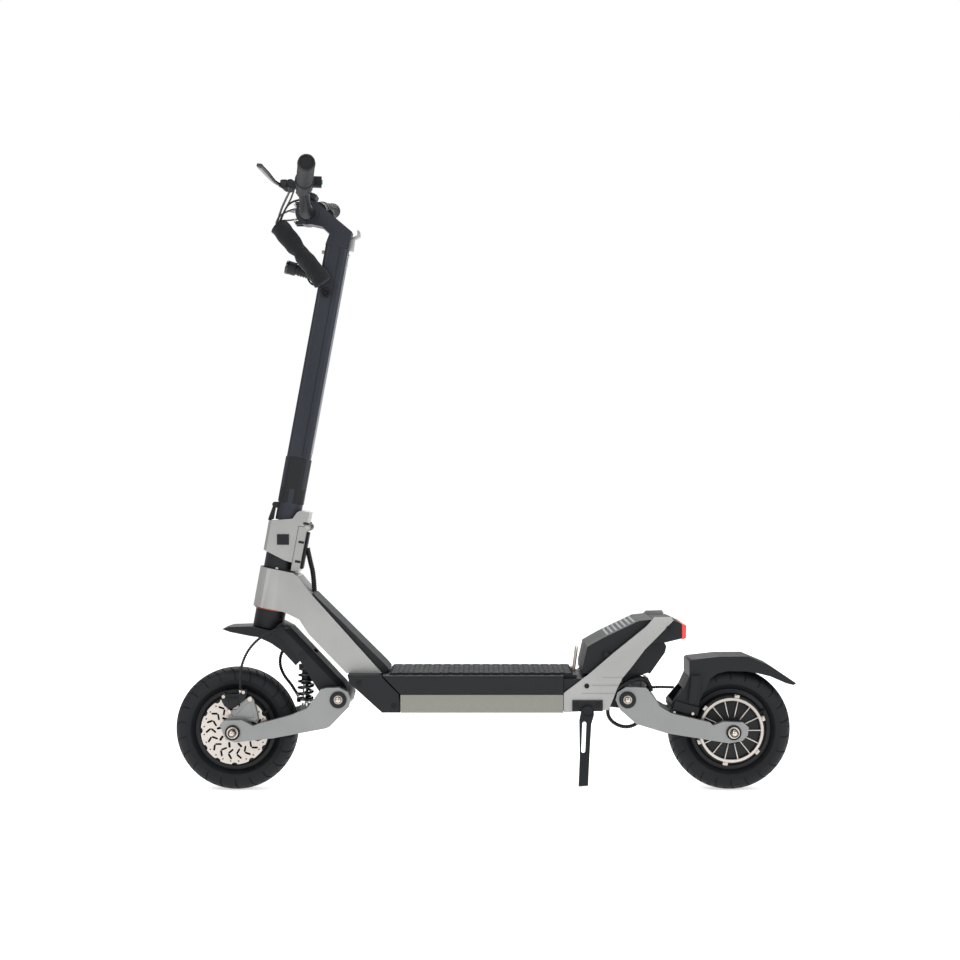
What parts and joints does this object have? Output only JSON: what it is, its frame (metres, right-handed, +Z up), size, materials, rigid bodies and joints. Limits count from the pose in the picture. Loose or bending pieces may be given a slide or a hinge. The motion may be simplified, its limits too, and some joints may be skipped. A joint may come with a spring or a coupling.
{
  "type": "electric kick scooter",
  "caption": "Folding electric kick scooter with hub-motor wheels on sprung arms, a wide deck, a rear kick plate, a side stand and a raked stem with flat grips.",
  "frame": {"origin": "on the ground under the middle of the scooter's length and width", "axes": "+X to the rear, +Y to the rider's right, +Z up"},
  "size_m": [1.291, 0.6638, 1.2754],
  "materials": {
    "silver_paint": "satin metallic paint on cast aluminium",
    "arm_paint": "satin metallic paint on forged arms",
    "black_paint": "fine-texture powder coat",
    "stem_grey": "dark grey anodised",
    "anodised": "extruded and bead blasted",
    "steel": "plated",
    "disc_steel": "ground",
    "chrome": "polished",
    "hub_black": "satin black",
    "tyre": "matt rubber",
    "mat_rubber": "moulded pads",
    "grip_rubber": "moulded",
    "black_plastic": "moulded grain",
    "green_button": "gloss",
    "red_lens": "moulded lens",
    "sleeve_fabric": "woven nylon sleeve"
  },
  "bodies": {
    "deck": {"neck_frame": "silver_paint", "headset_bearings": "steel", "deck_front_bracket": "black_paint", "deck_tray": "anodised", "deck_upper": "black_paint", "deck_mat": "mat_rubber", "battery_pack": "black_plastic", "motor_controller": "anodised", "rear_side_plates": "silver_paint", "rear_bridge": "black_paint", "rear_pivot_axle": "steel", "kick_plate": "black_plastic", "tail_light_lens": "red_lens", "lock_loop": "steel", "kickstand_mount": "black_paint", "rear_shock_body": "black_paint", "rear_cable": "black_plastic", "frame_screws": "steel"},
    "fork": {"steering_column": "black_paint", "fork_beam": "black_paint", "front_fender": "black_plastic", "front_pivot_axle": "steel", "hinge_block": "silver_paint", "hinge_pin": "steel", "front_cables": "black_plastic"},
    "front_arm": {"front_arms": "arm_paint", "front_axle": "steel", "front_brake_caliper": "black_paint"},
    "front_wheel": {"front_tyre": "tyre", "front_hub_motor": "hub_black", "front_brake_disc": "disc_steel"},
    "front_shock": {"front_shock_body": "black_paint", "front_spring": "black_paint"},
    "front_shock_slider": {"front_shock_rod": "chrome"},
    "rear_arm": {"rear_arms": "arm_paint", "rear_axle": "steel", "rear_brake_caliper": "black_paint", "rear_fender": "black_plastic"},
    "rear_wheel": {"rear_tyre": "tyre", "rear_hub_motor": "hub_black", "rear_brake_disc": "disc_steel"},
    "rear_shock_slider": {"rear_shock_rod": "chrome"},
    "kickstand": {"kickstand_leg": "black_paint"},
    "stem": {"latch_shell": "silver_paint", "stem_tube": "stem_grey", "stem_sleeve": "black_plastic", "gooseneck": "stem_grey", "bar_clamp_cap": "stem_grey", "handlebar": "black_paint", "grips": "grip_rubber", "brake_perches": "black_plastic", "bar_controls": "black_plastic", "headlight": "black_plastic", "bar_cables": "sleeve_fabric"},
    "brake_lever_left": {"brake_lever_left": "black_paint"},
    "brake_lever_right": {"brake_lever_right": "black_paint"},
    "throttle": {"throttle_paddle": "black_plastic"},
    "mode_button": {"mode_button": "green_button"},
    "latch_lever": {"latch_lever": "black_plastic"},
    "latch_button": {"latch_button": "black_plastic"}
  },
  "joints": [
    {"name": "steering", "type": "hinge", "parent": "deck", "child": "fork", "pos_m": [-0.4398, 0, 0.419], "axis": [0.1805, 0, 0.9836], "range_deg": [-30, 30], "deforming": ["front_cables"]},
    {"name": "stem_fold", "type": "hinge", "parent": "fork", "child": "stem", "pos_m": [-0.36888, 0, 0.54781], "axis": [0, 1, 0], "range_deg": [0, 100]},
    {"name": "front_suspension", "type": "hinge", "parent": "fork", "child": "front_arm", "pos_m": [-0.301, 0, 0.195], "axis": [0, 1, 0], "range_deg": [0, 12], "stiffness_Nm_per_rad": 420, "springref_deg": -6.88},
    {"name": "front_wheel_spin", "type": "hinge", "parent": "front_arm", "child": "front_wheel", "pos_m": [-0.518, 0, 0.1275], "axis": [0, 1, 0], "continuous": true},
    {"name": "front_shock_swing", "type": "hinge", "parent": "fork", "child": "front_shock", "pos_m": [-0.372, 0, 0.268], "axis": [0, 1, 0], "range_deg": [-1, 6]},
    {"name": "front_shock_slide", "type": "slide", "parent": "front_shock", "child": "front_shock_slider", "axis": [0.0599, 0, 0.9982], "range_m": [-0.001, 0.0182], "deforming": ["front_spring"]},
    {"name": "rear_suspension", "type": "hinge", "parent": "deck", "child": "rear_arm", "pos_m": [0.294, 0, 0.195], "axis": [0, -1, 0], "range_deg": [0, 12], "stiffness_Nm_per_rad": 420, "springref_deg": -8.59, "deforming": ["rear_cable"]},
    {"name": "rear_wheel_spin", "type": "hinge", "parent": "rear_arm", "child": "rear_wheel", "pos_m": [0.512, 0, 0.1275], "axis": [0, 1, 0], "continuous": true},
    {"name": "rear_shock_slide", "type": "slide", "parent": "deck", "child": "rear_shock_slider", "axis": [-0.7138, 0, 0.7003], "range_m": [-0.001, 0.0132]},
    {"name": "kickstand_swing", "type": "hinge", "parent": "deck", "child": "kickstand", "pos_m": [0.21, -0.122, 0.176], "axis": [-0.0611, -0.96, 0.2732], "range_deg": [0, 94]},
    {"name": "brake_lever_left_pull", "type": "hinge", "parent": "stem", "child": "brake_lever_left", "pos_m": [-0.40217, -0.17736, 1.24069], "axis": [0, 0.1289, 0.9917], "range_deg": [0, 14], "stiffness_Nm_per_rad": 0.6, "springref_deg": -17.19},
    {"name": "brake_lever_right_pull", "type": "hinge", "parent": "stem", "child": "brake_lever_right", "pos_m": [-0.40217, 0.17736, 1.24069], "axis": [0, 0.1289, -0.9917], "range_deg": [0, 14], "stiffness_Nm_per_rad": 0.6, "springref_deg": -17.19},
    {"name": "throttle_push", "type": "hinge", "parent": "stem", "child": "throttle", "pos_m": [-0.34021, 0.19311, 1.23376], "axis": [0.121, 0.9843, 0.1287], "range_deg": [0, 25], "stiffness_Nm_per_rad": 0.08, "springref_deg": -22.92},
    {"name": "mode_press", "type": "slide", "parent": "stem", "child": "mode_button", "axis": [-0.9927, -0.1199, 0.0157], "range_m": [0, 0.0015], "stiffness_N_per_m": 600, "springref_m": -0.001},
    {"name": "latch_lever_open", "type": "hinge", "parent": "stem", "child": "latch_lever", "pos_m": [-0.44183, 0, 0.59628], "axis": [0, 1, 0], "range_deg": [0, 50]},
    {"name": "latch_button_press", "type": "slide", "parent": "stem", "child": "latch_button", "axis": [0, 1, 0], "range_m": [0, 0.002], "stiffness_N_per_m": 600, "springref_m": -0.001}
  ],
  "couplings": [
    {"joint": "front_shock_swing", "follows": "front_suspension", "ratio": 0.27974},
    {"joint": "front_shock_slide", "follows": "front_suspension", "m_per_rad": 0.077301},
    {"joint": "rear_shock_slide", "follows": "rear_suspension", "m_per_rad": 0.053297}
  ]
}
